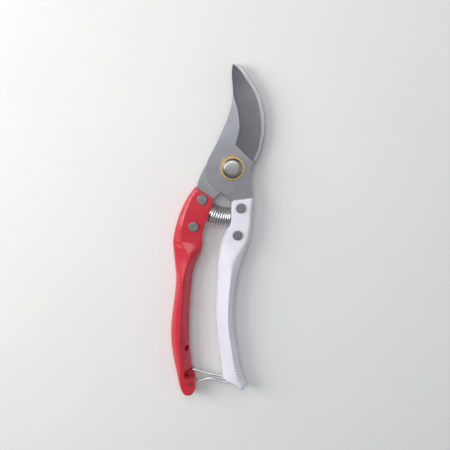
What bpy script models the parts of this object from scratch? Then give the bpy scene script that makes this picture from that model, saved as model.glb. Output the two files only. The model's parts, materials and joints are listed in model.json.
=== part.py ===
"""Bypass hand pruner, closed and latched, lying on its side.

A convex cutting blade riveted into a white handle passes a hooked counter blade riveted into a red
handle.  Both turn on one bolt, a coil spring opens them and a wire catch at the handle ends holds them
shut.  The tool's length runs along Y with the blade tips at +Y, its thickness runs along Z and it rests
on z = 0.  Outlines are in millimetres measured from the bolt's axis.
"""

import math
from typing import NamedTuple

import bmesh
import bpy
from mathutils import Matrix, Vector

MM = 0.001

# Driving dimensions, in millimetres
BOLT_AXIS = Vector((7.6, 41.7, 0.0))     # the bolt's axis in the object's frame
PIN_AXIS = Vector((-17.4, -134.5, 0.0))  # the catch pin, measured from the bolt's axis
GAP = 0.3                                # clearance between neighbouring pieces
MIDDLE = 7.0                             # height of the plane where the two blades meet
HALF_GRIP = 7.0                          # half the thickness of a grip
PAD_SHARE = 0.77                         # the riveted pad's thickness over the grip's
HOOK_THICK = 3.55
BLADE_THICK = 3.0
SHANK_RADIUS = 4.0                       # pivot bolt
RIVET_RADIUS = 1.9
RIVET_HEAD_RADIUS = 2.9
RIVET_HEAD_THICK = 0.7
WIRE_RADIUS = 0.75                       # catch wire
COIL_WIRE_RADIUS = 0.42
COIL_RADIUS = 5.55                       # to the middle of the spring's wire
COIL_TURNS = 9.1
SPRING_SEAT_REACH = 2.0     # how far the seats' cutters stand proud of the handles
PIN_BORE_RADIUS = 1.3
BELOW_ALL = -1              # heights that clear the whole tool, for cutters that go right through
ABOVE_ALL = 16

HOOK_TOP = MIDDLE - GAP / 2
HOOK_BOTTOM = HOOK_TOP - HOOK_THICK
BLADE_BOTTOM = MIDDLE + GAP / 2
BLADE_TOP = BLADE_BOTTOM + BLADE_THICK
PAD_TOP = MIDDLE + HALF_GRIP * PAD_SHARE
PAD_BOTTOM = MIDDLE - HALF_GRIP * PAD_SHARE

RIVETS = {
    "red_rivet_upper": (-16.6, -19.4),
    "red_rivet_lower": (-20.8, -35.8),
    "white_rivet_upper": (6.2, -23.2),
    "white_rivet_lower": (5.3, -39.5),
}

# Half of a grip's section from its outer side to its inner side: (share of width, share of height)
GRIP_PROFILE = [(0, 0), (0.02, 0.3), (0.1, 0.56), (0.26, 0.8), (0.42, 0.97), (0.5, 1.0),
                (0.56, 0.94), (0.72, 0.7), (0.88, 0.44), (0.97, 0.24), (1, 0)]
# The same for the pad. The last two say how much of its outer and inner slope each point is set back by.
PAD_PROFILE = [(0, 0, 0, 0), (0, 0.3, 0, 0), (0.02, 0.5, 0.4, 0), (0.07, 0.68, 1, 0), (0.13, 0.76, 1, 0),
               (0.3, PAD_SHARE, 0.6, 0), (0.6, PAD_SHARE, 0, 0.3), (0.9, PAD_SHARE, 0, 1),
               (0.97, 0.75, 0, 1), (1, 0.68, 0, 1), (1, 0, 0, 0)]


class Station(NamedTuple):
    """One cross-section of a handle, from its outer side to its inner side."""

    outer: tuple
    inner: tuple
    crest: float              # how far across the grip's crest lies
    pad: float                # 1 where the section is the flat riveted pad, 0 where it is the grip
    outer_slope: float = 0.0  # share of the width that the pad's outer side slopes over
    inner_slope: float = 0.0


# Handle stations from the blades to the free end
RED_STATIONS = [Station(*row) for row in (
    ((-20.9, -12.5), (-9.7, -19.1), 0.5, 1.0), ((-24.2, -17.4), (-10.7, -22.5), 0.5, 1.0, 0.01),
    ((-27.0, -22.9), (-11.8, -26.3), 0.5, 1.0, 0.03), ((-29.3, -29.0), (-13.1, -31.0), 0.5, 1.0, 0.06),
    ((-31.1, -35.8), (-14.7, -36.6), 0.6, 1.0, 0.09), ((-32.2, -42.0), (-15.4, -42.5), 0.8, 1.0, 0.12),
    ((-32.5, -45.3), (-15.2, -45.4), 0.86, 1.0, 0.12), ((-32.6, -47.5), (-15.1, -47.6), 0.88, 0.78, 0.1),
    ((-32.4, -50.0), (-15.3, -49.8), 0.82, 0.5), ((-32.0, -52.8), (-15.8, -52.4), 0.69, 0.25),
    ((-31.3, -57.5), (-17.7, -57.5), 0.66, 0.05), ((-30.4, -64.0), (-19.4, -64.0), 0.55, 0.0),
    ((-30.0, -71.0), (-20.1, -71.0), 0.47, 0.0), ((-30.4, -80.0), (-20.4, -80.0), 0.51, 0.0),
    ((-31.2, -90.0), (-20.5, -90.0), 0.55, 0.0), ((-31.6, -100.0), (-20.2, -100.0), 0.55, 0.0),
    ((-31.0, -109.5), (-19.6, -109.5), 0.5, 0.0), ((-29.4, -118.0), (-18.5, -117.5), 0.475, 0.0),
    ((-27.5, -125.0), (-17.0, -125.0), 0.44, 0.2), ((-25.8, -131.5), (-15.2, -131.0), 0.42, 0.8),
    ((-24.4, -136.5), (-14.4, -136.0), 0.4, 1.0), ((-22.9, -140.0), (-15.4, -139.7), 0.4, 1.0),
    ((-20.6, -142.7), (-17.6, -142.7), 0.4, 1.0))]
WHITE_STATIONS = [Station(*row) for row in (
    ((13.7, -16.9), (1.5, -19.2), 0.5, 1.0), ((13.4, -20.5), (0.8, -21.3), 0.5, 1.0),
    ((13.2, -25.0), (0.8, -26.0), 0.5, 1.0), ((13.3, -31.0), (0.9, -31.5), 0.5, 1.0),
    ((13.1, -37.0), (-1.5, -37.5), 0.5, 1.0, 0.0, 0.08), ((12.5, -42.5), (-3.5, -43.0), 0.55, 1.0, 0.0, 0.11),
    ((11.1, -48.0), (-4.8, -48.5), 0.6, 0.75, 0.0, 0.12), ((9.3, -54.5), (-5.3, -55.0), 0.5, 0.35, 0.0, 0.1),
    ((7.8, -60.5), (-5.3, -61.0), 0.4, 0.08), ((6.9, -67.0), (-5.1, -67.0), 0.34, 0.0),
    ((6.2, -74.0), (-5.0, -74.0), 0.32, 0.0), ((5.9, -81.0), (-4.9, -81.0), 0.31, 0.0),
    ((6.1, -89.0), (-4.6, -89.0), 0.31, 0.0), ((6.8, -96.5), (-4.0, -96.0), 0.31, 0.0),
    ((8.2, -104.0), (-2.9, -103.5), 0.31, 0.0), ((10.0, -112.0), (-1.6, -111.0), 0.31, 0.0),
    ((12.1, -120.5), (-0.1, -118.5), 0.33, 0.1), ((14.3, -127.3), (1.2, -125.0), 0.36, 0.3),
    ((16.3, -131.8), (2.1, -130.6), 0.4, 0.5), ((16.7, -135.2), (2.9, -134.4), 0.42, 0.5),
    ((15.4, -137.7), (4.5, -137.7), 0.46, 0.5))]


# ---- scene and materials ---------------------------------------------------------------------------

def clear_scene():
    for obj in list(bpy.data.objects):
        bpy.data.objects.remove(obj, do_unlink=True)


def finish(name, colour, roughness, metallic):
    material = bpy.data.materials.new(name)
    material.use_nodes = True
    shader = material.node_tree.nodes["Principled BSDF"]
    shader.inputs["Base Color"].default_value = (*colour, 1.0)
    shader.inputs["Roughness"].default_value = roughness
    shader.inputs["Metallic"].default_value = metallic
    return material


# ---- shape helpers, all in millimetres -------------------------------------------------------------

def curve_through(points, steps):
    """A smooth curve (Catmull-Rom) through tuples of any length, with its ends kept."""
    ends = [points[0], *points, points[-1]]
    curve = []
    for a, b, c, d in zip(ends, ends[1:], ends[2:], ends[3:]):
        for step in range(steps):
            t = step / steps
            weights = (-t + 2 * t**2 - t**3, 2 - 5 * t**2 + 3 * t**3, t + 4 * t**2 - 3 * t**3, t**3 - t**2)
            curve.append(tuple(
                sum(w * p for w, p in zip(weights, four)) / 2 for four in zip(a, b, c, d)))
    return curve + [tuple(points[-1])]


def outline(*runs, steps=4):
    """A closed outline of smooth runs that meet in corners. A run of two points is a straight line."""
    points = []
    for run in runs:
        smooth = curve_through(run, steps) if len(run) > 2 else list(run)
        points += smooth[:-1]
    return points


def circle(centre, radius, count=32):
    return [(centre[0] + radius * math.cos(2 * math.pi * i / count),
             centre[1] + radius * math.sin(2 * math.pi * i / count)) for i in range(count)]


def new_object(name, bm, material, centre=(0.0, 0.0), smooth_angle=35):
    """Makes a node from a mesh in millimetres, with its origin on the vertical axis through centre."""
    bmesh.ops.recalc_face_normals(bm, faces=bm.faces)
    shift = Matrix.Translation((-centre[0], -centre[1], 0.0))
    bmesh.ops.transform(bm, matrix=Matrix.Scale(MM, 4) @ shift, verts=bm.verts)
    mesh = bpy.data.meshes.new(name)
    bm.to_mesh(mesh)
    bm.free()
    mesh.shade_smooth()
    mesh.set_sharp_from_angle(angle=math.radians(smooth_angle))
    obj = bpy.data.objects.new(name, mesh)
    bpy.context.scene.collection.objects.link(obj)
    obj.location = (BOLT_AXIS + Vector((*centre, 0.0))) * MM
    if material is not None:
        mesh.materials.append(material)
    return obj


def new_cutter(name, bm, target):
    """Makes a hidden cutter and a Boolean on the target that uses it."""
    cutter = new_object(name, bm, None)
    cutter.hide_render = True
    cutter.display_type = "WIRE"
    cut = target.modifiers.new(name, "BOOLEAN")
    cut.operation = "DIFFERENCE"
    cut.solver = "EXACT"
    cut.object = cutter


def plate(points, bottom, top, chamfer=0.0):
    """A flat plate of the outline between two heights, with its rims chamfered."""
    bm = bmesh.new()
    face = bm.faces.new([bm.verts.new((x, y, bottom)) for x, y in points])
    raised = bmesh.ops.extrude_face_region(bm, geom=[face])
    lifted = [item for item in raised["geom"] if isinstance(item, bmesh.types.BMVert)]
    bmesh.ops.translate(bm, vec=(0, 0, top - bottom), verts=lifted)
    if chamfer:
        rims = [e for e in bm.edges if e.verts[0].co.z == e.verts[1].co.z]
        bmesh.ops.bevel(bm, geom=rims, offset=chamfer, segments=1, affect="EDGES", profile=0.5,
                        clamp_overlap=True, material=-1)
    return bm


def loft(rings):
    """A closed skin over rings of the same number of points, with a flat cap at each end."""
    bm = bmesh.new()
    cap = bm.faces.new([bm.verts.new(point) for point in rings[0]])
    for number, (before, after) in enumerate(zip(rings, rings[1:])):
        grown = bmesh.ops.extrude_face_region(bm, geom=[cap])["geom"]
        if number > 0:
            bmesh.ops.delete(bm, geom=[cap], context="FACES_ONLY")
        cap = next(item for item in grown if isinstance(item, bmesh.types.BMFace))
        for vert in cap.verts:
            nearest = min(range(len(before)), key=lambda i: (Vector(before[i]) - vert.co).length)
            vert.co = after[nearest]
    return bm


def turned(profile, centre, count=32):
    """A solid turned about the vertical axis through centre, from (radius, height) points."""
    bm = bmesh.new()
    verts = [bm.verts.new((radius, 0.0, height)) for radius, height in profile]
    edges = [bm.edges.new(pair) for pair in zip(verts, verts[1:])]
    bmesh.ops.spin(bm, geom=verts + edges, axis=(0, 0, 1), cent=(0, 0, 0), angle=2 * math.pi,
                   steps=count, use_merge=True)
    bmesh.ops.remove_doubles(bm, verts=bm.verts, dist=0.001)
    bmesh.ops.translate(bm, vec=(centre[0], centre[1], 0), verts=bm.verts)
    return bm


def wire(points, radius, sides=8):
    """A round wire along a route of points, with flat ends."""
    rings = []
    route = [Vector(p) for p in points]
    side = Vector((0, 0, 1))
    for i, point in enumerate(route):
        ahead = (route[min(i + 1, len(route) - 1)] - route[max(i - 1, 0)]).normalized()
        side = (side - ahead * side.dot(ahead)).normalized()
        across = ahead.cross(side)
        turns = [2 * math.pi * k / sides for k in range(sides)]
        rings.append([point + radius * (math.cos(a) * side + math.sin(a) * across) for a in turns])
    return loft(rings)


# ---- handles ---------------------------------------------------------------------------------------

def section(outer, inner, crest, flatness, outer_slope, inner_slope):
    """One ring of a handle: a ridged grip section blended with the flat riveted pad."""
    front = []
    for (grip_u, grip_h), (pad_u, pad_h, outer_lean, inner_lean) in zip(GRIP_PROFILE, PAD_PROFILE):
        shifted = 2 * crest * grip_u if grip_u <= 0.5 else 1 - 2 * (1 - crest) * (1 - grip_u)
        sloped = pad_u + outer_slope * outer_lean - inner_slope * inner_lean
        u = shifted + (sloped - shifted) * flatness
        h = grip_h + (pad_h - grip_h) * flatness
        front.append((u, h))
    back = [(u, -h) for u, h in reversed(front[1:-1])]
    return [(outer[0] + (inner[0] - outer[0]) * u, outer[1] + (inner[1] - outer[1]) * u,
             MIDDLE + HALF_GRIP * h) for u, h in front + back]


def handle(name, stations, material):
    rows = [(*station.outer, *station.inner, *station[2:]) for station in stations]
    rings = []
    for row in curve_through(rows, 2):
        crest, flatness, outer_slope, inner_slope = row[4:]
        rings.append(section(row[0:2], row[2:4], crest, min(max(flatness, 0.0), 1.0),
                             outer_slope, inner_slope))
    return new_object(name, loft(rings), material, smooth_angle=50)


def bore(target, name, centre, radius, bottom, top):
    new_cutter(name, plate(circle(centre, radius, 24), bottom, top), target)


def side_bore(target, name, start, direction, radius, depth):
    """A blind hole from start into the target."""
    bm = bmesh.new()
    bmesh.ops.create_cone(bm, cap_ends=True, segments=24, radius1=radius, radius2=radius, depth=depth)
    turn = Vector((0, 0, 1)).rotation_difference(Vector(direction)).to_matrix().to_4x4()
    middle = Vector(start) + Vector(direction) * depth / 2
    bmesh.ops.transform(bm, matrix=Matrix.Translation(middle) @ turn, verts=bm.verts)
    new_cutter(name, bm, target)


SLOPE_HOLE_MOUTH = Vector((-19.7, -112.0, 11.3))   # just outside the red grip's inner slope
SLOPE_HOLE_WAY = Vector((-0.75, 0.0, -0.66))       # square to the slope


# ---- blades ----------------------------------------------------------------------------------------

TIP = (-3.5, 59.1)
CUTTING_EDGE = [TIP, (0.8, 55.9), (4.7, 50.9), (8.4, 46.2), (11.2, 41.2), (12.9, 36.6), (14.5, 29.0),
                (15.2, 22.6), (14.7, 14.6), (13.5, 9.6), (11.8, 3.9)]
GRIND_START = [(-11.2, 62.6), (-7.4, 56.6), (-4.6, 50.8), (-2.9, 45.4), (-1.7, 40.2), (0.1, 35.6),
               (1.6, 29.7), (2.4, 23.7), (1.7, 17.8), (1.2, 15.6), (0.7, 13.5)]
GRIND_END = [(-5.2, 61.0), *CUTTING_EDGE[1:-1], (12.2, 3.6)]
SPINE = [(-15.7, 0.0), (-14.4, 4.0), (-10.7, 12.3), (-7.4, 20.5), (-4.9, 27.2), (-3.4, 32.9),
         (-2.5, 38.5), (-2.5, 44.3), (-3.2, 49.5), (-3.8, 54.3), TIP]
BLADE_THROAT = [(11.8, 3.9), (11.0, -0.8), (10.7, -4.0), (10.9, -8.0), (11.7, -12.0), (12.6, -16.5)]
BLADE_TANG = [(12.6, -16.5), (12.4, -22.0), (12.2, -31.0), (11.4, -40.0), (9.8, -45.5), (5.6, -47.5),
              (2.4, -45.8), (1.8, -40.0), (3.0, -34.0), (3.1, -26.5), (2.0, -22.6), (0.6, -20.2)]
BLADE_BOSS = [(0.6, -20.2), (-1.5, -18.2), (-3.6, -16.4), (-7.1, -14.4), (-9.8, -12.7), (-12.2, -10.2),
              (-13.9, -7.6), (-15.2, -4.4), (-15.7, 0.0)]
BLADE_SLOT = [(14.5, -12.0), (13.0, -22.0), (12.8, -31.0), (12.0, -40.4), (10.2, -46.2), (5.6, -48.3),
              (1.7, -46.4), (1.1, -40.0), (2.3, -34.0), (2.4, -26.8), (1.3, -23.2), (-0.5, -20.2),
              (-1.0, -12.0)]

HOOK_TIP = (-2.8, 58.9)
HOOK_BACK = [(0.4, 59.3), (2.5, 57.3), (5.2, 53.9), (7.8, 50.6), (10.2, 47.6), (12.6, 43.3), (14.6, 38.9),
             (16.2, 33.4), (17.1, 28.4), (17.4, 22.9), (17.1, 18.4), (16.5, 14.2), (15.6, 9.6),
             (14.2, 5.8), (12.0, 2.6), (10.4, -2.0), (8.0, -7.0), (4.0, -11.0), (-0.6, -13.4), (-5.2, -15.4)]
HOOK_TANG_RIGHT = [(-5.2, -15.4), (-7.7, -16.9), (-9.9, -20.0), (-13.4, -24.0), (-15.0, -28.0),
                   (-15.8, -33.0), (-16.2, -38.0), (-16.9, -43.5), (-19.8, -45.6), (-24.0, -44.6),
                   (-25.6, -41.0),
                   (-25.4, -34.0), (-24.0, -26.0), (-21.9, -18.5), (-20.2, -13.5)]
HOOK_TANG_LEFT = [(-20.2, -13.5), (-20.0, -10.6), (-17.8, -3.9), (-15.4, 0.6), (-12.2, 5.2), (-8.6, 8.2),
                  (-4.0, 10.6), (0.8, 13.6), (5.0, 18.4), (7.7, 24.4), (8.5, 31.0), (7.4, 38.6),
                  (4.6, 46.4), (2.2, 51.4), (-0.6, 55.8), HOOK_TIP]
HOOK_SLOT = [(-3.5, -10.0), (-8.8, -19.7), (-12.6, -23.6), (-14.2, -28.0), (-15.1, -33.0),
             (-15.5, -38.0), (-16.2, -43.9), (-19.5, -46.4), (-24.4, -45.3), (-26.3, -41.2), (-26.1, -34.0), (-24.7, -26.0),
             (-22.6, -18.5), (-21.1, -12.0), (-18.0, -6.0)]


def cutting_blade(material):
    blade_outline = outline(CUTTING_EDGE, BLADE_THROAT, BLADE_TANG, BLADE_BOSS, SPINE, steps=3)
    bm = plate(blade_outline, BLADE_BOTTOM, BLADE_TOP, chamfer=0.2)
    blade = new_object("cutting_blade", bm, material)
    new_cutter("grind", hollow_grind(), blade)
    bore(blade, "blade_bore", (0, 0), SHANK_RADIUS + GAP, BLADE_BOTTOM - 1, BLADE_TOP + 1)
    return blade


def hollow_grind():
    """The space that the grinding wheel takes from the front of the blade, down to a thin edge."""
    edge_land = 0.45
    past_edge = 0.3
    overrun = 3.0
    drop = BLADE_THICK - edge_land
    profile = [(0.0, 1.5), (0.0, 0.0), (0.08, -0.14), (0.3, -0.39), (0.65, -0.73), (1.0, -1.0)]
    rings = []
    for start, end in zip(curve_through(GRIND_START, 2), curve_through(GRIND_END, 2)):
        run = Vector(end) - Vector(start)
        edge = Vector(end) + run.normalized() * past_edge
        run = edge - Vector(start)
        ring = [(*(Vector(start) + run * share), BLADE_TOP + drop * fall) for share, fall in profile]
        beyond = edge + run.normalized() * overrun
        ring.append((*beyond, BLADE_TOP - drop))
        ring.append((*beyond, BLADE_TOP + 1.5 * drop))
        rings.append(ring)
    return loft(rings)


def hook_blade(material):
    hook_outline = outline([HOOK_TIP, HOOK_BACK[0]], HOOK_BACK, HOOK_TANG_RIGHT, HOOK_TANG_LEFT, steps=3)
    hook = new_object("hook_blade", plate(hook_outline, HOOK_BOTTOM, HOOK_TOP, chamfer=0.25), material)
    half = SHANK_RADIUS + GAP
    square = [(-half, -half), (half, -half), (half, half), (-half, half)]
    new_cutter("square_hole", plate(square, HOOK_BOTTOM - 1, HOOK_TOP + 1), hook)
    return hook


# ---- catch -----------------------------------------------------------------------------------------

EYE_RADIUS = 2.1   # to the middle of the wire that wraps the pin
EYE_START = 25.0   # where the wire's free end lies round the pin, in degrees
EYE_SWEEP = 275.0
CATCH_ROUTE = [(-14.4, -135.1), (-12.6, -134.2), (-9.4, -132.8), (-6.6, -132.0), (-3.6, -132.3),
               (0.4, -133.5), (3.8, -133.9), (5.7, -133.2), (6.3, -131.6), (6.0, -129.8), (5.1, -129.0),
               (4.2, -129.5), (3.1, -130.2), (0.6, -130.1), (-3.6, -129.4), (-7.2, -128.9),
               (-11.4, -128.0), (-15.4, -127.0), (-17.2, -126.6)]
WHITE_CATCH_SLOT = [(-2.0, -128.85), (2.7, -128.85), (2.9, -127.4), (5.8, -126.8), (7.4, -128.6),
                    (7.7, -131.2), (7.6, -133.6), (7.2, -137.2), (-2.0, -137.2)]
RED_CATCH_SLOT = [(-12.0, -124.4), (-19.1, -124.6), (-20.4, -128.0), (-21.3, -133.0), (-21.4, -137.0),
                  (-20.6, -145.0), (-10.0, -145.0)]
CATCH_WINDOW = [(-12.0, -124.4), (-19.1, -124.6), (-21.6, -127.0), (-21.4, -130.4), (-19.0, -131.2),
                (-12.0, -131.0)]


def catch_wire(material):
    """A closed eye round the pin, then a waisted loop whose far end hooks up behind the white handle."""
    eye_points = 14
    eye = []
    for i in range(eye_points):
        angle = math.radians(EYE_START + EYE_SWEEP * i / (eye_points - 1))
        eye.append((PIN_AXIS.x + EYE_RADIUS * math.cos(angle), PIN_AXIS.y + EYE_RADIUS * math.sin(angle)))
    route = eye + curve_through(CATCH_ROUTE, 2)
    bm = wire([(x, y, MIDDLE) for x, y in route], WIRE_RADIUS)
    return new_object("catch_wire", bm, material, centre=PIN_AXIS.xy)


# ---- spring ----------------------------------------------------------------------------------------

COIL_START = Vector((-11.5, -27.8, MIDDLE))
COIL_BEND = Vector((-5.4, -29.7, MIDDLE))
COIL_END = Vector((0.1, -29.9, MIDDLE))


def coil_spring(material):
    """Follows a gently bent axis square to both handles' inner sides."""
    points_per_turn = 14
    count = int(COIL_TURNS * points_per_turn)
    route = []
    for i in range(count + 1):
        t = i / count
        middle = (1 - t)**2 * COIL_START + 2 * t * (1 - t) * COIL_BEND + t**2 * COIL_END
        ahead = ((1 - t) * (COIL_BEND - COIL_START) + t * (COIL_END - COIL_BEND)).normalized()
        up = Vector((0, 0, 1))
        angle = 2 * math.pi * COIL_TURNS * t
        route.append(middle + COIL_RADIUS * (math.cos(angle) * up + math.sin(angle) * up.cross(ahead)))
    return new_object("coil_spring", wire(route, COIL_WIRE_RADIUS, sides=6), material, smooth_angle=60)


SPRING_SEAT_LAND = 0.2  # how far outside the handle's wall the spring's spot-faced seat lies


def spring_peg(name, handle_obj, face_point, direction, material):
    """A steel stud pressed into a handle's inner side, which keeps the spring's end in place."""
    radius, inside, outside = 3.0, 1.5, 2.6
    bm = bmesh.new()
    bmesh.ops.create_cone(bm, cap_ends=True, segments=24, radius1=radius, radius2=radius,
                          depth=inside + outside)
    rims = [e for e in bm.edges if abs(e.verts[0].co.z - e.verts[1].co.z) < 1e-6]
    bmesh.ops.bevel(bm, geom=rims, offset=0.4, segments=1, affect="EDGES", profile=0.5, material=-1)
    turn = Vector((0, 0, 1)).rotation_difference(direction).to_matrix().to_4x4()
    middle = face_point + direction * (outside - inside) / 2
    bmesh.ops.transform(bm, matrix=Matrix.Translation(middle) @ turn, verts=bm.verts)
    new_object(name, bm, material)
    mouth = face_point + direction * SPRING_SEAT_REACH
    side_bore(handle_obj, name + "_hole", mouth, -direction, radius + GAP, SPRING_SEAT_REACH + inside + GAP)
    seat = face_point + direction * SPRING_SEAT_LAND
    side_bore(handle_obj, name + "_seat", seat, direction, COIL_RADIUS + COIL_WIRE_RADIUS + GAP,
              SPRING_SEAT_REACH)


# ---- fasteners -------------------------------------------------------------------------------------

def rivet(name, centre, material):
    front = PAD_TOP + GAP
    back = PAD_BOTTOM - GAP
    crown = 0.2
    profile = [(0, back - RIVET_HEAD_THICK), (RIVET_HEAD_RADIUS - crown, back - RIVET_HEAD_THICK),
               (RIVET_HEAD_RADIUS, back - RIVET_HEAD_THICK + crown), (RIVET_HEAD_RADIUS, back),
               (RIVET_RADIUS, back), (RIVET_RADIUS, front), (RIVET_HEAD_RADIUS, front),
               (RIVET_HEAD_RADIUS, front + RIVET_HEAD_THICK - crown),
               (RIVET_HEAD_RADIUS - crown, front + RIVET_HEAD_THICK), (0, front + RIVET_HEAD_THICK)]
    new_object(name, turned(profile, centre, 24), material, centre=centre)


BOLT_HEAD_RADIUS = 6.6
BOLT_HEAD_BOTTOM = 0.0
RING_RADIUS = 7.5
RING_THICK = 1.9
RING_TEETH = 40
NUT_RADIUS = 5.9
NUT_FACE_RADIUS = 4.5
NUT_THICK = 3.2
RING_BOTTOM = BLADE_TOP + GAP
NUT_BOTTOM = RING_BOTTOM + RING_THICK + GAP


def pivot_bolt(material):
    """A flat head, a square neck that keys in the hooked blade and a round shank for the other blade."""
    head_top = HOOK_BOTTOM - GAP
    shank_top = NUT_BOTTOM + NUT_THICK - 1.2
    profile = [(0, BOLT_HEAD_BOTTOM), (BOLT_HEAD_RADIUS - 0.5, BOLT_HEAD_BOTTOM),
               (BOLT_HEAD_RADIUS, BOLT_HEAD_BOTTOM + 0.5), (BOLT_HEAD_RADIUS, head_top - 0.3),
               (BOLT_HEAD_RADIUS - 0.3, head_top), (SHANK_RADIUS - 0.05, head_top),
               (SHANK_RADIUS - 0.05, shank_top - 0.4), (SHANK_RADIUS - 0.45, shank_top), (0, shank_top)]
    bolt = new_object("pivot_bolt", turned(profile, (0, 0), 48), material)
    half = SHANK_RADIUS
    square = [(-half, -half), (half, -half), (half, half), (-half, half)]
    neck = new_object("neck", plate(square, head_top - 0.5, HOOK_TOP), None)
    neck.hide_render = True
    neck.display_type = "WIRE"
    join = bolt.modifiers.new("neck", "BOOLEAN")
    join.operation = "UNION"
    join.solver = "EXACT"
    join.object = neck


def toothed_ring(material):
    """A flat locking ring whose rim is cut into slanted teeth."""
    tooth_depth = 0.6
    rim = []
    for i in range(RING_TEETH):
        for share, radius in ((0.0, RING_RADIUS - tooth_depth), (0.35, RING_RADIUS), (0.75, RING_RADIUS)):
            angle = 2 * math.pi * (i + share) / RING_TEETH
            rim.append((radius * math.cos(angle), radius * math.sin(angle)))
    ring = new_object("toothed_ring", plate(rim, RING_BOTTOM, RING_BOTTOM + RING_THICK, chamfer=0.0),
                      material, smooth_angle=20)
    bore(ring, "ring_bore", (0, 0), SHANK_RADIUS + GAP, RING_BOTTOM - 1, RING_BOTTOM + RING_THICK + 1)


def pivot_nut(material):
    """A round cap nut with a tapered side and a flat face, threaded over the bolt's end."""
    bore_radius = SHANK_RADIUS + GAP
    bore_top = NUT_BOTTOM + NUT_THICK - 0.8
    top = NUT_BOTTOM + NUT_THICK
    profile = [(0, bore_top), (bore_radius, bore_top), (bore_radius, NUT_BOTTOM),
               (NUT_RADIUS - 0.2, NUT_BOTTOM), (NUT_RADIUS, NUT_BOTTOM + 0.2), (NUT_RADIUS, NUT_BOTTOM + 1.2),
               (NUT_FACE_RADIUS + 0.35, top - 0.25), (NUT_FACE_RADIUS, top), (0, top)]
    new_object("pivot_nut", turned(profile, (0, 0), 48), material)


def catch_pin(material):
    radius, low, high = 1.0, PAD_BOTTOM + 0.2, PAD_TOP - 0.2
    profile = [(0, low), (radius - 0.2, low), (radius, low + 0.2), (radius, high - 0.2),
               (radius - 0.2, high), (0, high)]
    new_object("catch_pin", turned(profile, PIN_AXIS.xy, 20), material, centre=PIN_AXIS.xy)


# ---- assembly --------------------------------------------------------------------------------------

def red_handle_with_holes(material):
    red = handle("red_handle", RED_STATIONS, material)
    new_cutter("hook_slot", plate(HOOK_SLOT, HOOK_BOTTOM - GAP, HOOK_TOP + GAP), red)
    new_cutter("red_catch_slot", plate(RED_CATCH_SLOT, MIDDLE - WIRE_RADIUS - 0.35,
                                       MIDDLE + WIRE_RADIUS + 0.35), red)
    for name in ("red_rivet_upper", "red_rivet_lower"):
        bore(red, name + "_hole", RIVETS[name], RIVET_RADIUS + GAP, BELOW_ALL, ABOVE_ALL)
    bore(red, "pin_hole", PIN_AXIS.xy, PIN_BORE_RADIUS, BELOW_ALL, ABOVE_ALL)
    new_cutter("catch_window", plate(CATCH_WINDOW, MIDDLE, ABOVE_ALL), red)
    side_bore(red, "slope_hole", SLOPE_HOLE_MOUTH, SLOPE_HOLE_WAY, 1.9, 6.0)
    return red


def white_handle_with_holes(material):
    white = handle("white_handle", WHITE_STATIONS, material)
    scoop = outline([(0.0, -129.2), (2.1, -130.0), (5.6, -131.4), (8.8, -132.3), (11.5, -133.7),
                     (13.2, -135.8), (15.0, -138.2)], [(15.0, -138.2), (15.0, -141.0)],
                    [(15.0, -141.0), (0.0, -141.0)], [(0.0, -141.0), (0.0, -129.2)], steps=3)
    new_cutter("scoop", plate(scoop, BELOW_ALL, ABOVE_ALL), white)
    new_cutter("blade_slot", plate(BLADE_SLOT, BLADE_BOTTOM - GAP, BLADE_TOP + GAP), white)
    new_cutter("white_catch_slot", plate(WHITE_CATCH_SLOT, MIDDLE - WIRE_RADIUS - 0.35,
                                         MIDDLE + WIRE_RADIUS + 0.35), white)
    for name in ("white_rivet_upper", "white_rivet_lower"):
        bore(white, name + "_hole", RIVETS[name], RIVET_RADIUS + GAP, BELOW_ALL, ABOVE_ALL)
    return white


def main():
    clear_scene()
    red_paint = finish("red_paint", (0.62, 0.02, 0.035), 0.35, 0.0)
    white_paint = finish("white_paint", (0.82, 0.82, 0.86), 0.35, 0.0)
    blade_steel = finish("blade_steel", (0.52, 0.53, 0.55), 0.35, 1.0)
    hook_steel = finish("hook_steel", (0.48, 0.49, 0.51), 0.4, 1.0)
    rivet_steel = finish("rivet_steel", (0.3, 0.31, 0.32), 0.45, 1.0)
    nut_steel = finish("nut_steel", (0.6, 0.59, 0.58), 0.3, 1.0)
    brass = finish("brass", (0.72, 0.52, 0.2), 0.35, 1.0)
    spring_steel = finish("spring_steel", (0.75, 0.75, 0.76), 0.2, 1.0)

    red = red_handle_with_holes(red_paint)
    white = white_handle_with_holes(white_paint)
    blade = cutting_blade(blade_steel)
    hook = hook_blade(hook_steel)
    for name, centre in RIVETS.items():
        tang = hook if name.startswith("red") else blade
        bore(tang, name + "_tang_hole", centre, RIVET_RADIUS + GAP, 0, 14)
        rivet(name, centre, rivet_steel)
    pivot_bolt(nut_steel)
    toothed_ring(brass)
    pivot_nut(nut_steel)
    coil_spring(spring_steel)
    along = (COIL_BEND - COIL_START).normalized()
    spring_peg("red_spring_peg", red, COIL_START - along * 0.9, along, nut_steel)
    back = (COIL_BEND - COIL_END).normalized()
    spring_peg("white_spring_peg", white, COIL_END - back * 0.9, back, nut_steel)
    catch_pin(rivet_steel)
    catch_wire(spring_steel)


main()
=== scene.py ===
"""Looks of a bypass hand pruner, built round its packed mechanical frame.

Shapes are worked out in millimetres from the pivot bolt's axis, with the tool's length along Y and its
thickness along Z above the surface it lies on.  A finished mesh is placed in the frame's metres.
"""

import json
import logging
import math
from collections.abc import Sequence
from dataclasses import dataclass
from enum import Enum
from functools import lru_cache

import bmesh
import bpy
from mathutils import Matrix, Vector


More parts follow.
